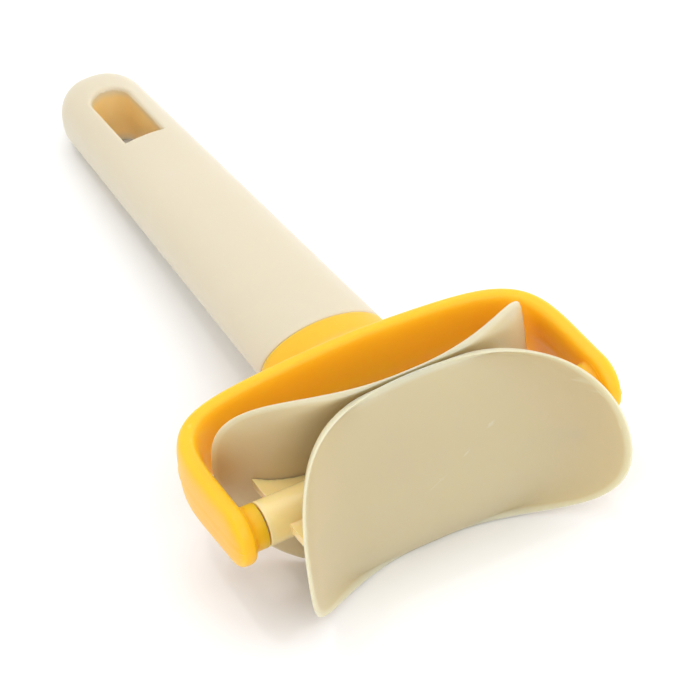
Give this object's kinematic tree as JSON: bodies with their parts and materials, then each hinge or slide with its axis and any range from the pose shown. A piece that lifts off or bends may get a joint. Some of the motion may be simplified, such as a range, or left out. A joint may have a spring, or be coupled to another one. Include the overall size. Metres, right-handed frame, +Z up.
{
  "type": "pastry cutter wheel",
  "caption": "Hand-held rolling dough cutter: two saddle-shaped blades back to back on a hub that turns freely in a moulded fork with an oval handle and a hanging eye.",
  "frame": {"origin": "middle of the box the tool fills, on the table that the roller and the handle's end rest on", "axes": "+Y from the roller towards the handle's tip, +Z up from the table, +X along the axle"},
  "size_m": [0.0982, 0.2038, 0.048],
  "materials": {
    "handle_plastic": "satin cream moulded plastic",
    "fork_plastic": "satin warm yellow moulded plastic",
    "rod_steel": "drawn steel rod",
    "hub_plastic": "glossy cream moulded plastic",
    "blade_plastic": "satin beige moulded plastic"
  },
  "bodies": {
    "frame": {"handle_sleeve": "handle_plastic", "fork_frame": "fork_plastic", "axle_rod": "rod_steel"},
    "roller": {"roller_hub": "hub_plastic", "blade_front": "blade_plastic", "blade_back": "blade_plastic"}
  },
  "joints": [
    {"name": "roller_spin", "type": "hinge", "parent": "frame", "child": "roller", "pos_m": [0, -0.0779, 0.024], "axis": [1, 0, 0], "continuous": true}
  ]
}
